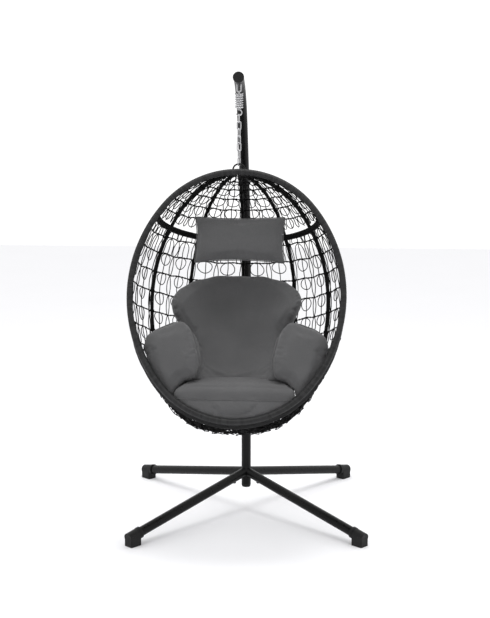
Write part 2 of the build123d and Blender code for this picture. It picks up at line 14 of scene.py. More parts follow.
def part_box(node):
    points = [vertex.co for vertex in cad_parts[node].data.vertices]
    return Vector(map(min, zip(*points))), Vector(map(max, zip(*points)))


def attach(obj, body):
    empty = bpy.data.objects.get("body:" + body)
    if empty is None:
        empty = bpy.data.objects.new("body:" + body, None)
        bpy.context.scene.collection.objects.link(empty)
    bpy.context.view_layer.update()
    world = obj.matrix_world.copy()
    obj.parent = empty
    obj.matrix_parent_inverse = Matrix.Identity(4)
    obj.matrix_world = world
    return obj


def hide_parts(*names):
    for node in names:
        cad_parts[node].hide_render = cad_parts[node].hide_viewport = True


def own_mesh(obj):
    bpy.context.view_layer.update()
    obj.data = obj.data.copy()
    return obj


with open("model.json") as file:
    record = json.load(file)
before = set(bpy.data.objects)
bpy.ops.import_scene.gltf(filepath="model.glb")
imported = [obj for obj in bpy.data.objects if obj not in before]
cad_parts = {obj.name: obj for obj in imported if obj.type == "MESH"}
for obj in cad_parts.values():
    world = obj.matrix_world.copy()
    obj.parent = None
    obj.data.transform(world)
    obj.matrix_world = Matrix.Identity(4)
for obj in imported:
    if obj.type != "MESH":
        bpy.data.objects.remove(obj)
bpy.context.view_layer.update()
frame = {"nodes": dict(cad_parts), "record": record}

# ---------- driving dimensions
MM = 0.001
WRAP_R = 12.5 * MM            # outside of the rim's winding
TILT = math.radians(17)       # the rim's plane leans back
END_RADIUS = 0.380            # top and bottom arcs of the rim's oval
RIB_OFFSET = -3.5 * MM        # ribs' axes inside the rim's oval
RIB_ANGLES = (-59.5, -31.9, 0.0, 31.9, 59.5)
RIB_NAMES = ("left_outer", "left_inner", "centre", "right_inner", "right_outer")
RIB_INNER_R = 6.6 * MM        # outside of a rib's winding
RIB_OUTER_R = 7.6 * MM
BELT_LEVEL = 0.316            # belt's axis where it meets the rim
BELT_SLOPE = math.tan(math.radians(6.6))    # it comes down towards the rear
BELT_R = 13.0 * MM
SIDE_BULGE = 0.900            # radius of the rear meridian just below the widest level
REAR_TURNS = (25.0, 80.0, 125.0)            # headings of the rear meridian's three lower arcs
CORNER_TURN = 65.0            # heading where the rim's lower corner arc ends
DRAWN_IN = 0.65               # share of the bulge that the net loses between outer rib and rim
DRAWN_FROM = 60.0             # where that starts, in degrees round from the rear
DRAWN_OVER = 24.0
WEAVE_OFFSET = 5.5 * MM       # middle of the woven net outside the rim's oval
WEAVE_FRONT = 15.0 * MM       # the net starts this far behind the rim's plane
CORD_R = 1.9 * MM
CUSHION_OFFSET = -13.5 * MM   # cushions stay this far inside the rim's oval
CUSHION_REACH = 6.5 * MM      # near the rim's plane they come up to this much closer
REACH_ENDS = 0.13             # as far behind the plane as that goes
PILLOW_LEVEL = 0.2465
PILLOW_BEHIND = 0.150

rim_low, rim_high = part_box("rim_wrap")
RIM_CENTRE = (rim_low + rim_high) / 2
HALF_WIDTH = (rim_high.x - rim_low.x) / 2 - WRAP_R
HALF_HEIGHT = ((rim_high.z - rim_low.z) / 2 - WRAP_R) / math.cos(TILT)
SIDE_RADIUS = ((HALF_WIDTH ** 2 + HALF_HEIGHT ** 2 - 2 * HALF_HEIGHT * END_RADIUS)
               / (2 * (HALF_WIDTH - END_RADIUS)))
END_CENTRE = HALF_HEIGHT - END_RADIUS
SIDE_CENTRE = HALF_WIDTH - SIDE_RADIUS
ARC_CHANGE = math.atan2(END_CENTRE, -SIDE_CENTRE)
SIDE_LENGTH = SIDE_RADIUS * ARC_CHANGE
POLE_LENGTH = SIDE_LENGTH + END_RADIUS * (math.pi / 2 - ARC_CHANGE)
RIM_TURNS = (math.degrees(ARC_CHANGE), CORNER_TURN, 90.0)
BELT_ROW = SIDE_RADIUS * math.asin(BELT_LEVEL / SIDE_RADIUS)
EGG = np.array(Matrix.Translation(RIM_CENTRE) @ Matrix.Rotation(-TILT, 4, "X"))


# ---------- the basket's round body
def to_world(local):
    """Points in the basket's own frame (across, behind the rim, up) to the row frame."""
    return np.asarray(local) @ EGG[:3, :3].T + EGG[:3, 3]


def turn_to_world(local):
    return np.asarray(local) @ EGG[:3, :3].T


def to_basket(points):
    return (np.asarray(points) - EGG[:3, 3]) @ EGG[:3, :3]


def low_arcs(angle):
    """Headings, from straight down, and radii of a meridian's three arcs below the widest level.
    Towards the rear the basket bulges below the rim's foot; at the rim it follows the rim's oval.
    The net is drawn in between the outer ribs and the rim."""
    bulge = np.sqrt(np.maximum(np.cos(np.radians(angle)), 0))
    bulge = bulge * (1 - DRAWN_IN * np.clip((np.abs(angle) - DRAWN_FROM) / DRAWN_OVER, 0, 1))
    h1, h2, h3 = [np.radians(a + (b - a) * bulge) for a, b in zip(RIM_TURNS, REAR_TURNS)]
    first = SIDE_RADIUS + (SIDE_BULGE - SIDE_RADIUS) * bulge
    across = HALF_WIDTH - first * (1 - np.cos(h1))
    down = HALF_HEIGHT - first * np.sin(h1)
    a, b = np.cos(h1) - np.cos(h2), np.cos(h2) - np.cos(h3)
    c, d = np.sin(h2) - np.sin(h1), np.sin(h3) - np.sin(h2)
    second = (across * d - down * b) / (a * d - b * c)
    third = (down * a - across * c) / (a * d - b * c)
    return (0 * h1, h1, h2, h3), (first, second, third)


def low_total(angle):
    """Length of a meridian from the widest level to the rim's foot."""
    headings, radii = low_arcs(angle)
    return sum(r * (b - a) for a, b, r in zip(headings, headings[1:], radii))


def low_meridian(angle, left):
    """Distance from the tall axis, level and heading at a length below the widest level."""
    headings, radii = low_arcs(angle)
    out, level, heading = HALF_WIDTH, 0.0, 0.0
    for start, end, radius in zip(headings, headings[1:], radii):
        turned = np.clip(left / radius, 0, end - start)
        out = out - radius * (np.cos(start) - np.cos(start + turned))
        level = level - radius * (np.sin(start + turned) - np.sin(start))
        left = left - radius * turned
        heading = heading + turned
    return out, level, heading


def meridian(angle, length):
    """Distance from the tall axis, level, and the outward normal's rise, at a length above the
    widest level."""
    length = np.asarray(length, float)
    high = np.maximum(length, 0)
    side = high < SIDE_LENGTH
    rise = np.where(side, high / SIDE_RADIUS, ARC_CHANGE + (high - SIDE_LENGTH) / END_RADIUS)
    radius = np.where(side, SIDE_RADIUS, END_RADIUS)
    high_out = np.where(side, SIDE_CENTRE, 0.0) + radius * np.cos(rise)
    high_level = np.where(side, 0.0, END_CENTRE) + radius * np.sin(rise)
    low_out, low_level, heading = low_meridian(angle, np.maximum(-length, 0))
    upper = length >= 0
    return (np.where(upper, high_out, low_out), np.where(upper, high_level, low_level),
            np.where(upper, rise, -heading))


def on_shell(angle, length, offset):
    """Row-frame points, outward normals, and basket-frame points; angle in degrees, 0 at the rear."""
    out, level, rise = meridian(angle, length)
    out = out + offset * np.cos(rise)
    level = level + offset * np.sin(rise)
    turn = np.radians(angle)
    points = np.stack([out * np.sin(turn), out * np.cos(turn), level + 0 * turn], -1)
    flat = np.cos(rise)
    normals = np.stack([flat * np.sin(turn), flat * np.cos(turn), np.sin(rise) + 0 * turn], -1)
    return to_world(points), turn_to_world(normals), points


def row_length(angle, row):
    """Where a row of the net crosses a meridian. A row is named by its length above the widest level
    at the rim; rows slope with the belt, and spread over the longer meridians of the bulged rear."""
    row = np.asarray(row, float)
    out, _, _ = meridian(90.0, row)
    share = np.clip(-row / POLE_LENGTH, 0, 1)
    length = np.where(row < 0, -share * low_total(angle), row)
    fade = np.clip((POLE_LENGTH - np.abs(row)) / POLE_LENGTH, 0, 1)
    return length - BELT_SLOPE * fade * out * np.cos(np.radians(angle))


def under_rim(across, behind, offset):
    """Points and normals of the net's lower half by their place across and behind the rim's plane."""
    angle = np.degrees(np.arctan2(across, behind))
    reach = np.hypot(across, behind)
    near, far = 0 * reach, low_total(angle)
    for _ in range(24):
        middle = (near + far) / 2
        outside = low_meridian(angle, middle)[0] > reach
        near, far = np.where(outside, middle, near), np.where(outside, far, middle)
    points, normals, _ = on_shell(angle, -near, offset)
    return points, normals


# ---------- meshes
def smooth_ring(count):
    turn = np.linspace(0, 2 * math.pi, count, endpoint=False)
    return np.cos(turn), np.sin(turn)


def tube(points, radius, sides, up, closed=False):
    """A tube's vertices and quads along points. Up is a direction across the path, or one for
    each point."""
    points = np.asarray(points, float)
    count = len(points)
    if closed:
        tangent = np.roll(points, -1, 0) - np.roll(points, 1, 0)
    else:
        tangent = np.gradient(points, axis=0)
    tangent /= np.linalg.norm(tangent, axis=1)[:, None]
    side = np.cross(tangent, np.broadcast_to(up, points.shape))
    side /= np.linalg.norm(side, axis=1)[:, None]
    lift = np.cross(side, tangent)
    across, along = smooth_ring(sides)
    radius = np.broadcast_to(np.asarray(radius, float).reshape(-1, 1) if np.ndim(radius) < 2 else radius,
                             (count, sides))
    verts = (points[:, None] + (radius * across)[..., None] * side[:, None]
             + (radius * along)[..., None] * lift[:, None]).reshape(-1, 3)
    rows = count if closed else count - 1
    a = (np.arange(rows)[:, None] * sides + np.arange(sides)[None]).ravel()
    b = (np.arange(rows)[:, None] * sides + (np.arange(sides)[None] + 1) % sides).ravel()
    step = lambda i: (i + sides) % (count * sides)
    faces = [tuple(f) for f in np.stack([a, b, step(b), step(a)], 1).tolist()]
    if not closed:
        faces.append(tuple(range(sides - 1, -1, -1)))
        faces.append(tuple(range((count - 1) * sides, count * sides)))
    return verts, faces


def join(parts):
    verts, faces, start = [], [], 0
    for some, quads in parts:
        verts.append(some)
        faces.extend(tuple(i + start for i in f) for f in quads)
        start += len(some)
    return np.concatenate(verts), faces


def add_mesh(name, verts, faces, material):
    mesh = bpy.data.meshes.new(name)
    mesh.from_pydata([tuple(v) for v in np.asarray(verts).tolist()], [], faces)
    mesh.update()
    mesh.polygons.foreach_set("use_smooth", [True] * len(mesh.polygons))
    mesh.materials.append(material)
    return new_object(name, mesh)


def new_object(name, data):
    made = bpy.data.objects.new(name, data)
    bpy.context.scene.collection.objects.link(made)
    return made


def place(piece, body, slot, *nodes):
    """Rides a finished piece on its body, and lets it stand for CAD nodes."""
    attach(piece, body)
    if nodes:
        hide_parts(*nodes)
    return piece


# ---------- materials
class Nodes:
    """Short calls for one material's node tree."""

    def __init__(self, name):
        self.material = bpy.data.materials.new(name)
        self.material.use_nodes = True
        self.tree = self.material.node_tree
        self.shader = self.tree.nodes["Principled BSDF"]

    def add(self, kind, **values):
        node = self.tree.nodes.new(kind)
        for key, value in values.items():
            setattr(node, key, value)
        return node

    def feed(self, socket, value):
        if isinstance(value, bpy.types.NodeSocket):
            self.tree.links.new(value, socket)
        elif value is not None:
            socket.default_value = value

    def math(self, operation, a, b=None):
        node = self.add("ShaderNodeMath", operation=operation)
        for socket, value in zip(node.inputs, (a, b)):
            self.feed(socket, value)
        return node.outputs[0]

    def noise(self, scale, detail=3.0, stretch=None):
        node = self.add("ShaderNodeTexNoise")
        node.inputs["Scale"].default_value = scale
        node.inputs["Detail"].default_value = detail
        source = self.where()
        if stretch:
            mapping = self.add("ShaderNodeMapping")
            mapping.inputs["Scale"].default_value = stretch
            self.feed(mapping.inputs["Vector"], source)
            source = mapping.outputs[0]
        self.feed(node.inputs["Vector"], source)
        return node.outputs["Fac"]

    def where(self):
        return self.add("ShaderNodeTexCoord").outputs["Object"]

    def attribute(self, name):
        return self.add("ShaderNodeAttribute", attribute_name=name).outputs["Fac"]

    def spread(self, value, low, high, out_low=0.0, out_high=1.0):
        node = self.add("ShaderNodeMapRange")
        for socket, number in zip(node.inputs, (value, low, high, out_low, out_high)):
            self.feed(socket, number)
        return node.outputs[0]

    def colours(self, factor, first, second):
        """Mixes two greys, a little blue."""
        node = self.add("ShaderNodeMix", data_type="RGBA")
        self.feed(node.inputs["Factor"], factor)
        node.inputs["A"].default_value = (first, first, first * 1.02, 1)
        node.inputs["B"].default_value = (second, second, second * 1.02, 1)
        return node.outputs["Result"]

    def bump(self, height, distance, strength=1.0, below=None):
        node = self.add("ShaderNodeBump")
        node.inputs["Distance"].default_value = distance
        node.inputs["Strength"].default_value = strength
        self.feed(node.inputs["Height"], height)
        if below:
            self.feed(node.inputs["Normal"], below)
        return node.outputs[0]

    def finish(self, colour=None, roughness=None, normal=None, specular=0.5, **numbers):
        self.feed(self.shader.inputs["Base Color"], colour)
        self.feed(self.shader.inputs["Roughness"], roughness)
        self.feed(self.shader.inputs["Normal"], normal)
        self.shader.inputs["Specular IOR Level"].default_value = specular
        for name, value in numbers.items():
            self.shader.inputs[name.replace("_", " ")].default_value = value
        return self.material


def plain_finish(name, greys, gloss, cloud, shine, grain, skin, **numbers):
    """Cloudy greys, an uneven sheen and a fine skin; cloud, shine and grain say which noises."""
    n = Nodes(name)
    return n.finish(colour=n.colours(n.noise(*cloud), *greys),
                    roughness=n.spread(n.noise(*shine), 0.3, 0.7, *gloss),
                    normal=n.bump(n.noise(*grain), *skin), **numbers)


def wicker(name, dark, light, specular):
    """Extruded plastic wicker: each turn a little different, with streaks drawn along it, and painted
    shade that darkens it towards the grooves between turns.
    """
    n = Nodes(name)
    streak = n.noise(260, 4)
    tone = n.math("ADD", n.math("MULTIPLY", n.attribute("turn"), 0.55), n.math("MULTIPLY", streak, 0.45))
    # painted shade: the edge attribute darkens the colour towards the grooves between turns, down to 0.3
    # of its tone
    tone = n.math("MULTIPLY", tone, n.spread(n.attribute("edge"), 0.0, 0.5, 0.3, 1.0))
    return n.finish(colour=n.colours(tone, dark, light),
                    roughness=n.spread(streak, 0.3, 0.7, 0.40, 0.58),
                    normal=n.bump(n.noise(1100, 2), 0.0002, 0.35), specular=specular)


def plain_weave(n, pitch):
    """Height of a plain weave seen along each axis, mixed by the way the surface faces."""
    where = n.add("ShaderNodeSeparateXYZ")
    n.feed(where.inputs[0], n.where())
    facing = n.add("ShaderNodeSeparateXYZ")
    n.feed(facing.inputs[0], n.add("ShaderNodeNewGeometry").outputs["Normal"])
    waves = [n.math("SINE", n.math("MULTIPLY", where.outputs[i], 2 * math.pi / pitch)) for i in range(3)]
    weights = [n.math("POWER", n.math("ABSOLUTE", facing.outputs[i]), 3.0) for i in range(3)]
    total = n.math("ADD", n.math("ADD", weights[0], weights[1]), weights[2])
    height = None
    for i in range(3):
        threads = n.math("MULTIPLY", waves[(i + 1) % 3], waves[(i + 2) % 3])
        term = n.math("MULTIPLY", n.math("DIVIDE", weights[i], total), threads)
        height = term if height is None else n.math("ADD", height, term)
    return height


def cushion_cloth():
    """Charcoal polyester: plain weave with slubs, a little fuzz and soft tone changes."""
    n = Nodes("charcoal_cloth")
    weave = plain_weave(n, 1.6 * MM)
    slub = n.noise(420, 5)
    tone = n.math("ADD", n.math("MULTIPLY", slub, 0.45), n.math("MULTIPLY", n.noise(7), 0.35))
    tone = n.math("ADD", tone, n.math("MULTIPLY", weave, 0.12))
    creases = n.bump(n.noise(16, 4), 0.004, 0.30)
    return n.finish(colour=n.colours(tone, 0.060, 0.158),
                    roughness=n.spread(slub, 0.3, 0.7, 0.82, 0.95),
                    normal=n.bump(n.math("ADD", weave, slub), 0.0005, 0.5, creases),
                    specular=0.2, Sheen_Weight=0.15, Sheen_Roughness=0.5)


def webbing():
    n = Nodes("black_webbing")
    return n.finish(colour=n.colours(n.noise(500), 0.006, 0.020), roughness=0.85,
                    normal=n.bump(plain_weave(n, 1.2 * MM), 0.0003, 0.6), specular=0.2)


# powder coat with an orange-peel skin, and zinc with drawn marks
STEEL_BLACK = plain_finish("black_powder_coat", (0.0025, 0.0070), (0.24, 0.40),
                           (9,), (60, 4), (420, 2), (0.00025, 0.5), specular=0.16)
PLASTIC = plain_finish("black_moulded_plastic", (0.005, 0.010), (0.42, 0.60),
                       (25,), (80, 4), (900, 2), (0.0002, 0.6), specular=0.22)
ZINC = plain_finish("zinc_plated_steel", (0.38, 0.70), (0.20, 0.42),
                    (140, 5), (140, 5), (500, 4, (1, 1, 0.15)), (0.00012, 0.5), Metallic=1.0)
BOLT = plain_finish("black_oxide_steel", (0.015, 0.045), (0.28, 0.45),
                    (180, 4), (180, 4), (700, 2), (0.0001, 0.4), Metallic=1.0)
RIM_WICKER = wicker("grey_wicker", 0.0040, 0.036, 0.20)
RIB_WICKER = wicker("black_wicker", 0.0010, 0.0070, 0.08)
CORD = plain_finish("black_cord", (0.0012, 0.0060), (0.40, 0.58),
                    (300,), (300,), (900, 2), (0.0002, 0.4), specular=0.06)
CLOTH = cushion_cloth()
STRAP = webbing()


# ---------- wound tubes
BEHIND = turn_to_world((0, 1, 0))
STEP = 1.25 * MM              # between the points of a wound path


def wound(points, radius, pitch, height, sides, up, closed=False, seed=1):
    """A tube with a strip wound round it: rounded turns with grooves between, each a little different.
    Returns vertices, quads, and the tone and nearness to the groove of each vertex; the wicker material
    paints shade into the grooves from the latter."""
    points = np.asarray(points, float)
    rng = np.random.default_rng(seed)
    steps = np.linalg.norm(np.diff(points, axis=0), axis=1)
    along = np.concatenate([[0], np.cumsum(steps)])
    total = along[-1] + (np.linalg.norm(points[0] - points[-1]) if closed else 0)
    turns = round(total / pitch)
    phase = along[:, None] * turns / total + np.arange(sides)[None] / sides
    turn = np.floor(phase).astype(int)
    profile = 1 - (2 * (phase - turn) - 1) ** 4
    if closed:
        turn = turn % turns
    tones = rng.uniform(0.25, 1.0, turns + 2)
    proud = rng.uniform(0.7, 1.0, turns + 2)
    radii = radius + height * (profile * proud[turn] - 1)
    verts, faces = tube(points, radii, sides, up, closed)
    return verts, faces, tones[turn].ravel(), profile.ravel()


def add_wound(name, windings, material):
    """One piece from several windings, with the attributes that its material reads."""
    verts, faces = join([(w[0], w[1]) for w in windings])
    piece = add_mesh(name, verts, faces, material)
    # the edge attribute tells the wicker material where to paint shade in the grooves
    for label, index in (("turn", 2), ("edge", 3)):
        values = np.concatenate([w[index] for w in windings]).astype(np.float32)
        piece.data.attributes.new(label, "FLOAT", "POINT").data.foreach_set("value", values)
    return piece


def plain(part, tone):
    """A bare tube among wound ones."""
    verts, faces = part
    return verts, faces, np.full(len(verts), tone), np.ones(len(verts))


def rim_points(step):
    """Points round the rim's axis, from the top down the right side, in the basket's frame."""
    count = int(4 * POLE_LENGTH / step / 4) * 4
    travel = np.linspace(0, 4 * POLE_LENGTH, count, endpoint=False)
    right = travel < 2 * POLE_LENGTH
    length = np.where(right, POLE_LENGTH - travel, travel - 3 * POLE_LENGTH)
    out, level, _ = meridian(90.0, length)
    return np.stack([np.where(right, out, -out), 0 * out, level], -1)


def rim_lower(t, behind, outside):
    """Row-frame points beside the rim's lower half; t is -1 to 1 round it, 0 at its foot."""
    out, level, rise = meridian(90.0, -POLE_LENGTH * (1 - np.abs(t)))
    across = np.sign(t) * (out + outside * np.cos(rise))
    return to_world(np.stack([across, behind + 0 * t, level + outside * np.sin(rise)], -1))


def edge_strands():
    """The net's end: strands round the back of the rim's lower half, and a band of them below it."""
    parts = []
    t = np.linspace(-0.9, 0.9, 500)
    swell_out = np.clip(1 - (np.abs(t) / 0.8) ** 2, 0, 1)
    tuck = np.clip((np.abs(t) - 0.72) / 0.18, 0, 1)     # their ends go in behind the winding
    hug = WRAP_R + (2.1 - 4.5 * tuck) * MM
    places = [(hug * math.cos(a), hug * math.sin(a)) for a in np.radians(range(-60, 75, 17))]
    places += [((13.5 + 1.5 * k) * MM + 0 * t, (12.0 + 4.2 * (k + 1) * swell_out - 8 * tuck) * MM)
               for k in range(3)]
    for number, (behind, outside) in enumerate(places):
        rng = np.random.default_rng(40 + number)
        behind = behind + wobble(rng, len(t), 0.0005, 9)
        outside = outside + wobble(rng, len(t), 0.0006, 14)
        path = rim_lower(t, behind, outside)
        parts.append(wound(path, 2.3 * MM, 26 * MM, 0.4 * MM, 8, BEHIND, seed=60 + number))
    return parts


def rim_wrap():
    points = to_world(rim_points(STEP))
    winding = wound(points, WRAP_R, 7.0 * MM, 1.1 * MM, 22, BEHIND, closed=True, seed=3)
    return add_wound("rim_winding", [winding] + edge_strands(), RIM_WICKER)


def across_rib(angle):
    return turn_to_world((math.cos(math.radians(angle)), -math.sin(math.radians(angle)), 0))


def rib_line(angle):
    """A rib's axis from its top to its foot, where it clears the rim."""
    length = np.arange(POLE_LENGTH - 0.01, -low_total(angle) + 0.01, -STEP)
    points, _, local = on_shell(np.full(len(length), angle), length, RIB_OFFSET)
    return points[local[:, 1] > 12 * MM]


def add_rib(name, angle):
    radius = RIB_OUTER_R if "outer" in name else RIB_INNER_R
    seed = 200 + int(angle)
    winding = wound(rib_line(angle), radius, 5.5 * MM, 0.9 * MM, 14, across_rib(angle), seed=seed)
    return place(add_wound("rib_winding_" + name, [winding] + rib_knots(angle, radius), RIB_WICKER),
                 "basket", "rib_wicker", "rib_" + name)


def rib_knots(angle, radius):
    """Where a row crosses a rib, its cord goes round the rib a few times."""
    knots = []
    turns = np.linspace(0, 3.2 * 2 * math.pi, 46)
    for row in ROWS_LOW + ROWS_HIGH:
        length = row_length(angle, row) + (turns / turns[-1] - 0.5) * 10 * MM
        centre, normal, local = on_shell(np.full(len(turns), angle), length, RIB_OFFSET)
        if local[:, 1].min() < 22 * MM:
            continue
        ring = np.cos(turns)[:, None] * normal + np.sin(turns)[:, None] * across_rib(angle)
        knots.append(plain(tube(centre + (radius + 0.8 * MM) * ring, 1.5 * MM, 6, ring), 0.3))
    return knots


def belt_line():
    """The belt's axis: one arc in a plane that slopes down towards the rear."""
    side = SIDE_CENTRE + math.sqrt((SIDE_RADIUS + RIB_OFFSET) ** 2 - BELT_LEVEL ** 2)
    half = SIDE_CENTRE + BELT_LEVEL * BELT_SLOPE
    square = 1 + BELT_SLOPE ** 2
    rest = SIDE_CENTRE ** 2 + BELT_LEVEL ** 2 - (SIDE_RADIUS + RIB_OFFSET) ** 2
    back = (half + math.sqrt(half ** 2 - square * rest)) / square
    depth = back * math.sqrt(square)
    radius = (side ** 2 + depth ** 2) / (2 * depth)
    reach = math.acos((radius - depth) / radius)
    front = math.acos((radius - depth + 12 * MM) / radius)
    turn = np.linspace(-front, front, int(2 * radius * reach / STEP))
    down = radius * np.cos(turn) - (radius - depth)
    slope = math.atan(BELT_SLOPE)
    level = BELT_LEVEL - down * math.sin(slope)
    return np.stack([radius * np.sin(turn), down * math.cos(slope), level], -1)


def add_belt():
    up = turn_to_world((0, BELT_SLOPE, 1))
    winding = wound(to_world(belt_line()), BELT_R, 9 * MM, 1.8 * MM, 20, up, seed=77)
    return place(add_wound("belt_winding", [winding], RIB_WICKER), "basket", "rib_wicker", "belt_hoop")


# ---------- woven net
ROWS_LOW = [BELT_ROW - d for d in (0.053, 0.118, 0.193, 0.271, 0.349, 0.427, 0.505, 0.580, 0.650, 0.714,
                                   0.772, 0.824, 0.870, 0.910)]
ROWS_HIGH = [BELT_ROW + d for d in (0.050, 0.103, 0.156, 0.209, 0.262, 0.312)]
BELOW_BELT = BELT_ROW - 0.8 * BELT_R
ABOVE_BELT = BELT_ROW + 0.8 * BELT_R
RINGS_AT = (0.27, 0.71)
RING_WIDTHS = (0.85, 1.0, 1.28, 1.28, 1.0, 0.85)   # against their height, by field
FIELDS = len(RING_WIDTHS)
FLOOR_HALF = 0.405            # how far the floor's cords spread each side


def field_angle(field, across, row):
    """Angle round the tall axis of a place across a field, 0 to 1, on a row."""
    out, _, _ = meridian(88.0, row)
    rim = np.degrees(np.arccos(np.clip(WEAVE_FRONT / np.maximum(out, 1e-4), 0, 1)))
    start = -rim if field == 0 else RIB_ANGLES[field - 1]
    end = rim if field == FIELDS - 1 else RIB_ANGLES[field]
    return start + (end - start) * across


def field_width(field, row):
    out, _, _ = meridian(88.0, row)
    return float(np.radians(field_angle(field, 1.0, row) - field_angle(field, 0.0, row)) * out)


def wobble(rng, count, size, waves):
    """A slow random wander along a strand."""
    t = np.linspace(0, 1, count)
    value = np.zeros(count)
    for k in range(1, 4):
        value += np.sin(2 * math.pi * (waves * k * 0.7 * t + rng.random())) / k
    return size * value / 1.6


def lay(field, across, row, shift, lift, closed=False):
    """A cord on the shell; across is 0 to 1 over the field, shift is metres sideways from there."""
    row = np.asarray(row, float) + 0 * np.asarray(shift)
    out, _, _ = meridian(88.0, row)
    angle = field_angle(field, across, row) + np.degrees(shift / np.maximum(out, 0.02))
    angle = np.clip(angle, -89.9, 89.9)
    points, normals, local = on_shell(angle, row_length(angle, row), WEAVE_OFFSET + lift)
    good = local[:, 1] > WEAVE_FRONT - 3 * MM
    if closed:
        return [tube(points, CORD_R, 6, normals, True)] if good.all() else []
    pieces, start = [], None
    for i, ok in enumerate(list(good) + [False]):
        if ok and start is None:
            start = i
        if not ok and start is not None:
            if i - start > 4:
                pieces.append(tube(points[start:i], CORD_R, 6, normals[start:i]))
            start = None
    return pieces


def row_cord(field, row, rng, size):
    """Two level cords laid together that arch a little over each ring."""
    count = 46
    t = np.linspace(0, 1, count)
    arch = size * np.abs(np.sin(2 * math.pi * t)) + wobble(rng, count, 0.0015, 2)
    lift = 1.0 * MM * np.sin(4 * math.pi * t + rng.random()) + wobble(rng, count, 0.0006, 3)
    twist = 1.5 * MM * np.sin(14 * math.pi * t + 6 * rng.random())
    parts = lay(field, t, row + arch + twist, 0 * t, lift + 0.4 * MM)
    return parts + lay(field, t, row + arch - twist, 0 * t, lift - 0.4 * MM)


def ring_cord(field, across, row, wide, tall, rng):
    """A ring that hangs under a row's cord, a little uneven."""
    turn = np.linspace(0, 2 * math.pi, 28, endpoint=False)
    tall = tall * rng.uniform(0.9, 1.08)
    dent = 1 + 0.06 * np.cos(2 * turn + 6 * rng.random()) + 0.04 * np.cos(3 * turn + 6 * rng.random())
    where = row + 0.004 - tall + tall * dent * np.sin(turn)
    shift = wide * rng.uniform(0.9, 1.08) * dent * np.cos(turn) + rng.uniform(-1, 1) * 0.004
    return lay(field, across, where, shift, 1.2 * MM * np.cos(2 * turn + rng.random()), True)


def upright_cord(field, across, first, last, rng):
    """A cord that runs down the field with a slow wander."""
    count = max(12, int(abs(last - first) / 0.006))
    row = np.linspace(first, last, count)
    shift = wobble(rng, count, 0.0035, abs(last - first) / 0.15)
    return lay(field, across, row, shift, wobble(rng, count, 0.001, abs(last - first) / 0.08))


def wavy_pair(field, across, rows, swing, rng, lift_size):
    """Two cords that meet at each row and spread between rows."""
    parts = []
    for side in (-1, 1):
        row, shift, lift = [], [], []
        for first, last in zip(rows, rows[1:]):
            t = np.linspace(0, 1, 13)[:-1]
            width = swing * rng.uniform(0.6, 1.25)
            row.extend(first + (last - first) * t)
            shift.extend(side * (0.0016 + width * np.sin(math.pi * t) ** 0.8))
            lift.extend(lift_size * side * np.cos(math.pi * t))
        parts += lay(field, across, np.array(row), np.array(shift) + wobble(rng, len(shift), 0.0035, 5),
                     np.array(lift))
    return parts


def arch_cord(field, across, top, bottom, half, rng):
    """A tall arch whose legs stand on the row below."""
    turn = np.linspace(0, math.pi, 30)
    row = bottom + (top - bottom) * np.sin(turn) ** 0.7
    shift = half * np.cos(turn) + wobble(rng, len(turn), 0.0012, 2)
    return lay(field, across, row, shift, 1.3 * MM * np.cos(3 * turn))


def field_rows(field, rows, first, last, ring_size, pairs, seed):
    """The cords of a field, over or under the belt: rows, rings, uprights and crossing pairs."""
    rng = np.random.default_rng(seed + field)
    parts = []
    for number, row in enumerate(rows):
        width = field_width(field, row)
        tall = min(ring_size, width * 0.19)
        wide = tall * RING_WIDTHS[field]
        parts += row_cord(field, row, rng, 0.004)
        for across in RINGS_AT:
            if first < BELT_ROW and number == 0:
                parts += arch_cord(field, across, row + 0.034, row, wide * 1.15, rng)
            elif tall > 6 * MM:
                parts += ring_cord(field, across, row, wide, tall, rng)
            if first < BELT_ROW and number == 1:
                parts += arch_cord(field, across, rows[0], row, wide * 1.05, rng)
    for across in RINGS_AT:
        parts += upright_cord(field, across, first, last, rng)
    for across, swing in pairs:
        parts += wavy_pair(field, across, [first] + rows, swing, rng, 1.2 * MM)
    return parts


# rows, first and last place, size of the rings, the pairs' places and swings, seed
HALVES = {"low": (ROWS_LOW, BELOW_BELT, -POLE_LENGTH + 0.02, 0.0235,
                  ((0.04, 0.0045), (0.49, 0.0085), (0.96, 0.0045)), 100),
          "high": (ROWS_HIGH, ABOVE_BELT, POLE_LENGTH - 0.02, 0.0195,
                   ((0.05, 0.0035), (0.49, 0.0070), (0.95, 0.0035)), 200)}


def floor_loops(number):
    """One looped cord along the rim, on the basket's floor."""
    rng = np.random.default_rng(300 + number)
    reach = 0.88 - 0.02 * number
    loops = int(58 * reach * (1 - 0.03 * number))
    t = np.linspace(-reach, reach, loops * 12)
    phase = 2 * math.pi * loops * (t + reach) / (2 * reach) + wobble(rng, len(t), 1.6, 11)
    size = 1 + 0.4 * np.sin(phase * 0.37 + rng.random() * 6)
    across = FLOOR_HALF * np.sin(math.pi / 2 * (t + 0.012 * size * np.cos(phase)))
    depth = 0.038 + 0.017 * number + 0.0105 * size * np.sin(phase) + wobble(rng, len(t), 0.003, 6)
    lift = 5.5 * MM * np.sin(phase * 0.5 + rng.random() * 6) + wobble(rng, len(t), 0.003, 17)
    points, normals = under_rim(across, np.maximum(depth, 0.02), WEAVE_OFFSET + 2.0 * MM + lift)
    return tube(points, 1.8 * MM, 5, normals)


def floor_strand(number):
    """One plain cord close behind the rim, all round its lower half."""
    rng = np.random.default_rng(340 + number)
    t = np.linspace(-0.96, 0.96, 420)
    depth = 0.0165 + 0.0036 * number + wobble(rng, len(t), 0.0008, 12)
    across = FLOOR_HALF * np.sin(math.pi / 2 * t)
    points, normals = under_rim(across, depth, 4.5 * MM + wobble(rng, len(t), 0.0012, 18))
    return tube(points, 2.2 * MM, 6, normals)


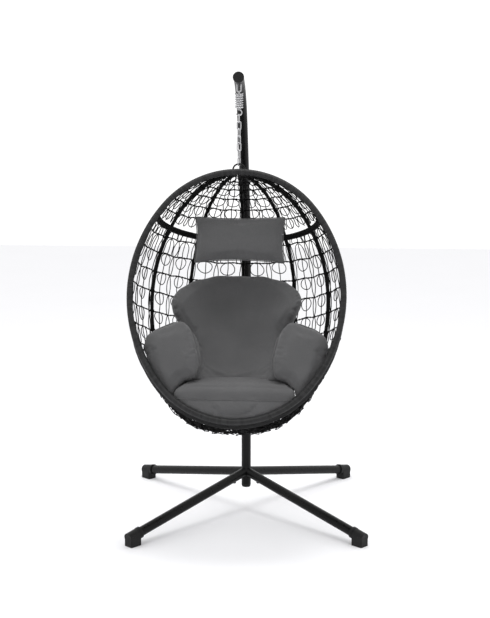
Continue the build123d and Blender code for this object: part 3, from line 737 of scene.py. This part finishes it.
def add_net():
    for field in range(FIELDS):
        for level, half in HALVES.items():
            verts, faces = join(field_rows(field, *half))
            name = "%s_%d" % (level, field + 1)
            place(add_mesh("net_" + name, verts, faces, CORD), "basket", "weave_cord", "weave_" + name)
    floor = [floor_loops(number) for number in range(5)] + [floor_strand(number) for number in range(3)]
    verts, faces = join(floor)
    place(add_mesh("net_floor_loops", verts, faces, CORD), "basket", "weave_cord")


# ---------- cushions
SINK = 1.5 * MM               # how far the cloth simulation may draw a cover in
CLOTH_FRAMES = 20
SEAT_HALF = 0.25


def copy_node(node, name):
    piece = new_object(name, frame["nodes"][node].data.copy())
    piece.data.materials.clear()
    piece.data.materials.append(CLOTH)
    return piece


def apply_modifiers(piece):
    graph = bpy.context.evaluated_depsgraph_get()
    mesh = bpy.data.meshes.new_from_object(piece.evaluated_get(graph))
    old = piece.data
    piece.modifiers.clear()
    piece.data = mesh
    bpy.data.meshes.remove(old)


def smooth(piece, steps):
    soft = piece.modifiers.new("soft", "SMOOTH")
    soft.factor = 0.5
    soft.iterations = steps
    apply_modifiers(piece)


def remesh(piece, voxel, smooth_steps):
    step = piece.modifiers.new("voxels", "REMESH")
    step.mode = "VOXEL"
    step.voxel_size = voxel
    smooth(piece, smooth_steps)


def read(values, name):
    flat = np.empty(len(values) * 3)
    values.foreach_get(name, flat)
    return flat.reshape(-1, 3)


def coords(piece):
    return read(piece.data.vertices, "co")


def vertex_normals(piece):
    return read(piece.data.vertex_normals, "vector")


def set_coords(piece, points):
    piece.data.vertices.foreach_set("co", np.asarray(points).ravel())
    piece.data.update()


def surface_tree(piece):
    points = [tuple(p) for p in coords(piece)]
    return BVHTree.FromPolygons(points, [tuple(f.vertices) for f in piece.data.polygons])


def swell(piece, amount):
    set_coords(piece, coords(piece) + amount * vertex_normals(piece))


def inflate(piece, pressure, cap, freedom=1.0):
    """Blows the cover up a little under Cloth, and lets no point move further than cap, or sink by more
    than SINK. Freedom is the share of its move that each point keeps."""
    before, out = coords(piece), vertex_normals(piece)
    cloth = piece.modifiers.new("cloth", "CLOTH")
    stiff = dict(tension_stiffness=12, compression_stiffness=12, shear_stiffness=6, bending_stiffness=0.6)
    for key, value in dict(stiff, quality=5, mass=0.3, use_pressure=True,
                           uniform_pressure_force=pressure).items():
        setattr(cloth.settings, key, value)
    cloth.settings.effector_weights.gravity = 0
    cloth.collision_settings.use_collision = False
    cloth.point_cache.frame_start = 1
    cloth.point_cache.frame_end = CLOTH_FRAMES
    for number in range(1, CLOTH_FRAMES + 1):
        bpy.context.scene.frame_set(number)
    apply_modifiers(piece)
    bpy.context.scene.frame_set(1)
    moved = coords(piece) - before
    sunk = np.minimum((moved * out).sum(1) + SINK, 0)
    moved -= sunk[:, None] * out
    reach = np.linalg.norm(moved, axis=1)
    share = freedom * np.minimum(reach, cap) / np.maximum(reach, 1e-9)
    set_coords(piece, before + moved * share[:, None])


def rumple(piece, size, scale):
    """Slow soft dents, so that no panel is dead flat."""
    points = coords(piece)
    dents = np.array([noise.noise(Vector(p) * scale) + 0.4 * noise.noise(Vector(p) * scale * 2.3)
                      for p in points])
    set_coords(piece, points + (size * dents)[:, None] * vertex_normals(piece))


def oval_offset(local):
    """How far basket-frame points lie outside the rim's oval of revolution, and the way out."""
    out = np.hypot(local[:, 0], local[:, 1])
    level = np.abs(local[:, 2])
    side = np.arctan2(level, out - SIDE_CENTRE) < ARC_CHANGE
    x = out - np.where(side, SIDE_CENTRE, 0)
    z = level - np.where(side, 0, END_CENTRE)
    reach = np.hypot(x, z)
    outwards = np.stack([local[:, 0] / out * x / reach, local[:, 1] / out * x / reach,
                         np.sign(local[:, 2]) * z / reach], -1)
    return reach - np.where(side, SIDE_RADIUS, END_RADIUS), outwards


def shape_back(piece):
    """The back cushion's fan has full shoulders, a crowned front and a wide foot."""
    local = to_basket(coords(piece))
    front = np.clip(-(vertex_normals(piece) @ EGG[:3, 1]), 0, 1)
    crown = 1 - np.clip(np.abs(local[:, 0]) / 0.21, 0, 1) ** 2
    local[:, 1] -= 13 * MM * front * crown * np.clip((0.13 - local[:, 2]) / 0.10, 0, 1)
    local[:, 0] *= 1 + 0.18 * np.clip((-0.14 - local[:, 2]) / 0.12, 0, 1)
    ear = np.exp(-((local[:, 2] + 0.060) / 0.060) ** 2) * np.clip((local[:, 0] - 0.08) / 0.10, 0, 1)
    local[:, 0] -= 28 * MM * ear
    high = np.clip((local[:, 2] + 0.02) / 0.08, 0, 1)
    local[:, 2] += 11 * MM * high * np.exp(-((np.abs(local[:, 0]) - 0.185) / 0.06) ** 2)
    local[:, 2] += 9 * MM * high * np.exp(-((np.abs(local[:, 0]) - 0.090) / 0.045) ** 2)
    local[:, 0] = local[:, 0] * 0.985 - 0.006
    set_coords(piece, to_world(local))


def shape_seat(piece):
    """The seat is crowned, and its ends are round where the arms come down to the rim."""
    points = coords(piece)
    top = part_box("seat_cushion")[1].z
    middle = 1 - np.clip(np.abs(points[:, 0]) / SEAT_HALF, 0, 1) ** 4
    points[:, 2] += 3 * MM * middle * np.clip((points[:, 2] - top + 0.05) / 0.05, 0, 1)
    local = to_basket(points)
    high = np.clip((local[:, 2] + 0.43) / 0.05, 0, 1)
    local[:, 0] *= 1 - 0.08 * high * np.clip(np.abs(local[:, 0]) / SEAT_HALF, 0, 1) ** 3
    set_coords(piece, to_world(local))


def shape_arm(piece):
    """An arm's foot reaches down along the rim, beside the seat's end."""
    local = to_basket(coords(piece))
    low = np.clip((-0.25 - local[:, 2]) / 0.10, 0, 1)
    front = np.clip((0.14 - local[:, 1]) / 0.08, 0, 1)
    outer = np.clip((np.abs(local[:, 0]) - 0.19) / 0.05, 0, 1)
    local[:, 2] -= 25 * MM * low * front * outer
    set_coords(piece, to_world(local))


SHAPES = {"back_cushion": shape_back, "seat_cushion": shape_seat,
          "arm_cushion_left": shape_arm, "arm_cushion_right": shape_arm}


def press_out(piece, reach):
    """Pushes a cushion's outer side against the net."""
    points = coords(piece)
    _, outwards = oval_offset(to_basket(points))
    outwards = turn_to_world(outwards)
    facing = np.clip((vertex_normals(piece) * outwards).sum(1), 0, 1)
    set_coords(piece, points + (reach * facing)[:, None] * outwards)


def keep_in_basket(piece):
    """Brings back a cushion's points that lie too near the rim's oval of revolution, or outside it."""
    local = to_basket(coords(piece))
    outside, outwards = oval_offset(local)
    near_rim = np.clip((REACH_ENDS - local[:, 1]) / 0.04, 0, 1)
    back = np.maximum(outside - CUSHION_OFFSET - CUSHION_REACH * near_rim, 0)
    set_coords(piece, to_world(local - back[:, None] * outwards))


def keep_clear(piece, other, gap):
    """Moves the points of a cushion that lie in another out to its surface and gap beyond."""
    tree = surface_tree(other)
    points = coords(piece)
    for i, point in enumerate(points):
        near, normal, _, _ = tree.find_nearest(Vector(point), 0.04)
        if near is not None:
            depth = (Vector(point) - near).dot(normal)
            if depth < gap:
                points[i] = point + np.array(normal) * (gap - depth)
    set_coords(piece, points)


def seam_lines(piece, values, level):
    """Chains of points on a piece's surface where a value at its vertices equals a level."""
    points = coords(piece)
    high = values >= level
    links, place_of = {}, {}
    for face in piece.data.polygons:
        ring = list(face.vertices)
        hits = [tuple(sorted((a, b))) for a, b in zip(ring, ring[1:] + ring[:1]) if high[a] != high[b]]
        for a, b in zip(hits[::2], hits[1::2]):
            links.setdefault(a, []).append(b)
            links.setdefault(b, []).append(a)
    for a, b in links:
        share = (level - values[a]) / (values[b] - values[a])
        place_of[(a, b)] = points[a] + share * (points[b] - points[a])
    chains, used = [], set()
    for start in links:
        if start in used:
            continue
        chain, here = [], start
        while here is not None:
            used.add(here)
            chain.append(place_of[here])
            here = next((n for n in links[here] if n not in used), None)
        if len(chain) > 60:
            chains.append(np.array(chain))
    return chains


def even_loop(chain, step, passes):
    """A closed chain with its kinks taken out and its points set at even steps."""
    for _ in range(passes):
        chain = (np.roll(chain, 1, 0) + 2 * chain + np.roll(chain, -1, 0)) / 4
    ends = np.vstack([chain, chain[:1]])
    along = np.concatenate([[0], np.cumsum(np.linalg.norm(np.diff(ends, axis=0), axis=1))])
    even = np.linspace(0, along[-1], int(along[-1] / step), endpoint=False)
    return np.stack([np.interp(even, along, ends[:, k]) for k in range(3)], -1)


def pull_in(piece, chain, depth, width):
    """Draws the cover in along a seam."""
    tree = KDTree(len(chain))
    for i, point in enumerate(chain):
        tree.insert(point, i)
    tree.balance()
    points = coords(piece)
    near = np.array([tree.find(Vector(p))[2] for p in points])
    set_coords(piece, points - (depth * np.exp(-(near / width) ** 2))[:, None] * vertex_normals(piece))


def piping(piece, chain, radius, name):
    """A cord of the same cloth sewn into a seam."""
    tree = surface_tree(piece)
    found = [tree.find_nearest(Vector(p)) for p in chain]
    normals = even_normals(np.array([f[1] for f in found]))
    path = np.array([f[0] for f in found]) + 0.3 * radius * normals
    verts, faces = tube(path, radius, 8, normals, True)
    cord = add_mesh(name, verts, faces, CLOTH)
    place(cord, "basket", "cushion_fabric")
    return cord


def even_normals(normals):
    for _ in range(12):
        normals = normals + np.roll(normals, 1, 0) + np.roll(normals, -1, 0)
        normals /= np.linalg.norm(normals, axis=1)[:, None]
    return normals


def sew(piece, name, values, level, depth=2.5 * MM, width=16 * MM):
    """Seams along a level of a value: the cover drawn in, and a thin piping in the dip."""
    chains = [even_loop(chain, 2.5 * MM, 24) for chain in seam_lines(piece, values, level)]
    for chain in chains:
        pull_in(piece, chain, depth, width)
    for number, chain in enumerate(chains, 1):
        piping(piece, chain, 1.9 * MM, "%s_piping_%d" % (name, number))


def finish_cushion(piece, fill, *nodes):
    level = piece.modifiers.new("fine", "SUBSURF")
    level.levels = level.render_levels = 1
    apply_modifiers(piece)
    piece.data.polygons.foreach_set("use_smooth", [True] * len(piece.data.polygons))
    place(piece, "basket", "cushion_fabric", *nodes)
    return piece


def stuffed(node, name, neighbours=(), reach=(), rounding=8, fuller=7.0 * MM, softening=2):
    """A cushion in the space of its CAD solid, rounded, blown up and pressed against its neighbours."""
    piece = copy_node(node, name)
    remesh(piece, 0.006, rounding)
    swell(piece, fuller)
    inflate(piece, 4.0, 10 * MM)
    rumple(piece, 2.2 * MM, 9.0)
    SHAPES[node](piece)
    if node != "back_cushion":
        press_out(piece, 9 * MM)
    for other, share in reach:
        keep_clear(piece, frame["nodes"][other], -share)
    for other in neighbours:
        keep_clear(piece, other, 2.0 * MM)
    keep_in_basket(piece)
    smooth(piece, softening)
    for other in neighbours:
        keep_clear(piece, other, 1.2 * MM)
    keep_in_basket(piece)
    return piece


def add_seating():
    """The back first, then the arms and the seat pressed against it."""
    sides = ("arm_cushion_left", "arm_cushion_right")
    near = 3.0 * MM
    back = stuffed("back_cushion", "back_pad", reach=[(n, near) for n in sides + ("seat_cushion",)],
                   rounding=8, fuller=10 * MM, softening=12)
    seat = stuffed("seat_cushion", "seat_pad", [back], [(n, near) for n in sides], 6, 7 * MM)
    left, right = [stuffed(node, name, [back, seat], (), 7, 9 * MM)
                   for node, name in zip(sides, ("left_arm_pad", "right_arm_pad"))]
    local = to_basket(coords(back))
    sew(back, "back", oval_offset(local)[0], -0.036, 1.2 * MM)
    for piece, name in ((left, "left_arm"), (right, "right_arm")):
        sew(piece, name, to_basket(coords(piece))[:, 1], 0.062)
    sew(seat, "seat", coords(seat)[:, 2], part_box("seat_cushion")[1].z - 0.031, 1.8 * MM, 12 * MM)
    finish_cushion(back, 0.7, "back_cushion")
    finish_cushion(left, 0.8, "arm_cushion_left")
    finish_cushion(right, 0.8, "arm_cushion_right")
    finish_cushion(seat, 0.8, "seat_cushion")


def pillow_side(t):
    """Half the pillow's width, t is -1 at its bottom and 1 at its top."""
    return 0.183 - 0.007 * (1 - t ** 2)


def pillow_edges(s):
    """Levels of the pillow's bottom and top edges, s is -1 to 1 across it."""
    return 0.165 - 0.012 * s ** 2, 0.3345 + 0.0075 * s ** 2


def pillow_sheet(side, columns, rows):
    """One face of the pillow: pointed corners, edges that draw in between them."""
    s, t = np.meshgrid(np.linspace(-1, 1, columns), np.linspace(-1, 1, rows))
    across = s * pillow_side(t)
    bottom, top = pillow_edges(s)
    level = (top + bottom) / 2 + t * (top - bottom) / 2
    crown = np.sqrt(np.clip((1 - np.abs(s) ** 3.2) * (1 - np.abs(t) ** 2.4), 0, 1))
    edge = np.minimum((1 - np.abs(s)) * 0.182, (1 - np.abs(t)) * 0.085)
    pucker = np.cos(s * 46) * np.exp(-(1 - np.abs(t)) * 6)
    pucker = pucker + np.cos(t * 23) * np.exp(-(1 - np.abs(s)) * 12)
    crown = crown * 0.034 + pucker * 0.0011 * np.clip(edge / 0.012, 0, 1)
    return np.stack([across, PILLOW_BEHIND + side * crown, level], -1).reshape(-1, 3)


def add_pillow():
    columns, rows = 72, 38
    verts = np.concatenate([pillow_sheet(-1, columns, rows), pillow_sheet(1, columns, rows)])
    faces = []
    for sheet in range(2):
        for j in range(rows - 1):
            for i in range(columns - 1):
                a = sheet * columns * rows + j * columns + i
                quad = (a, a + 1, a + columns + 1, a + columns)
                faces.append(quad if sheet == 0 else quad[::-1])
    pillow = add_mesh("head_pad", to_world(verts), faces, CLOTH)
    weld = pillow.modifiers.new("weld", "WELD")
    weld.merge_threshold = 0.0004
    apply_modifiers(pillow)
    local = to_basket(coords(pillow))
    margin = np.minimum(0.18 - np.abs(local[:, 0]), 0.085 - np.abs(local[:, 2] - PILLOW_LEVEL))
    inflate(pillow, 3.0, 8 * MM, np.clip(margin / 0.030, 0, 1))
    rumple(pillow, 1.8 * MM, 12.0)
    s, t = np.linspace(-1, 1, 90), np.linspace(-1, 1, 50)
    border = pillow_border(s, t)
    piping(pillow, even_loop(to_world(border), 2.5 * MM, 2), 1.8 * MM, "pillow_piping")
    finish_cushion(pillow, 0.75, "head_pillow")


def pillow_border(s, t):
    """The pillow's edge seam, in the basket's frame."""
    low, high = pillow_edges(s)
    corner_low, corner_high = pillow_edges(1.0)
    level = (corner_low + corner_high) / 2 + t * (corner_high - corner_low) / 2
    width = pillow_side(1.0)
    runs = [np.stack([width * s, 0 * s + PILLOW_BEHIND, low], -1),
            np.stack([pillow_side(t), 0 * t + PILLOW_BEHIND, level], -1),
            np.stack([width * s, 0 * s + PILLOW_BEHIND, high], -1)[::-1],
            np.stack([-pillow_side(t), 0 * t + PILLOW_BEHIND, level], -1)[::-1]]
    return np.concatenate([run[:-1] for run in runs])


# ---------- spring and frame
def add_spring():
    """Coil of the drawbar spring: close end turns, and open turns between them."""
    low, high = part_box("spring_coil")
    radius, wire = 14.8 * MM, 2.2 * MM
    all_turns, end_turns = 7.2, 0.8
    turns = np.linspace(0, all_turns, 7 * 40)
    open_turns = np.clip(turns - end_turns, 0, 5.6) / 5.6
    level = low.z + wire + (high.z - low.z - 2 * wire) * (0.06 * turns / all_turns + 0.94 * open_turns)
    centre = (low + high) / 2
    angle = 2 * math.pi * turns
    points = np.stack([centre.x + radius * np.cos(angle), centre.y + radius * np.sin(angle), level], -1)
    outwards = np.stack([np.cos(angle), np.sin(angle), 0 * angle], -1)
    verts, faces = tube(points, wire, 12, outwards)
    coil = place(add_mesh("drawbar_coil", verts, faces, ZINC), "spring_top", "zinc_steel", "spring_coil")
    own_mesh(coil)


def dress_frame():
    """Better materials on the CAD nodes that stay."""
    dressed = {"stand_paint": STEEL_BLACK, "frame_paint": STEEL_BLACK, "black_plastic": PLASTIC,
               "bolt_steel": BOLT, "zinc_steel": ZINC, "webbing": STRAP}
    for part in frame["record"]["subparts"]:
        material = dressed.get(part["material_slot"])
        if material:
            node = frame["nodes"][part["node"]]
            node.data.materials.clear()
            node.data.materials.append(material)


# ---------- stage
def add_stage():
    """A white floor under a white sky, and soft studio light."""
    n = Nodes("studio_white")
    white = n.finish(colour=n.colours(n.noise(1.5, 2), 0.955, 0.975), roughness=0.9, specular=0.2)
    edge = 9.0
    corners = [(-edge, -edge, 0), (edge, -edge, 0), (edge, edge, 0), (-edge, edge, 0)]
    add_mesh("studio_floor", corners, [(0, 1, 2, 3)], white)
    add_sky()
    add_light("key", (-2.4, -2.8, 4.0), (0, -0.3, 0.9), 34)
    add_light("fill", (3.2, -2.2, 2.6), (0, -0.3, 0.9), 8)
    add_light("top", (0.2, -0.7, 4.4), (0, -0.4, 0), 62)


def add_sky():
    """A white sky, dimmer on the side that the basket faces."""
    world = bpy.data.worlds.new("studio")
    world.use_nodes = True
    tree = world.node_tree
    sky = tree.nodes["Background"]
    sky.inputs["Color"].default_value = (1, 1, 1, 1)
    parts = tree.nodes.new("ShaderNodeSeparateXYZ")
    tree.links.new(tree.nodes.new("ShaderNodeTexCoord").outputs["Generated"], parts.inputs[0])
    fade = tree.nodes.new("ShaderNodeMapRange")
    for socket, number in zip(list(fade.inputs)[1:5], (-0.9, 0.25, 0.55, 1.14)):
        socket.default_value = number
    tree.links.new(parts.outputs[1], fade.inputs[0])
    tree.links.new(fade.outputs[0], sky.inputs["Strength"])
    bpy.context.scene.world = world


def add_light(name, where, aim, power):
    data = bpy.data.lights.new(name, "AREA")
    data.energy = power
    data.size = 1.8
    light = new_object(name, data)
    light.location = where
    light.rotation_euler = (Vector(aim) - Vector(where)).to_track_quat("-Z", "Y").to_euler()


def add_camera():
    data = bpy.data.cameras.new("camera")
    data.sensor_width = 36.0
    data.lens = 78.57
    camera = new_object("camera", data)
    camera.location = (0.3808, -5.7177, 1.9758)
    camera.rotation_euler = (math.radians(90 - 10.266), 0, math.radians(3.79))
    bpy.context.scene.camera = camera
    bpy.context.scene.view_settings.view_transform = "Standard"


add_camera()
add_stage()
dress_frame()
place(rim_wrap(), "basket", "rim_wicker", "rim_wrap")
for rib_name, rib_angle in zip(RIB_NAMES, RIB_ANGLES):
    add_rib(rib_name, rib_angle)
add_belt()
add_net()
add_seating()
add_pillow()
add_spring()
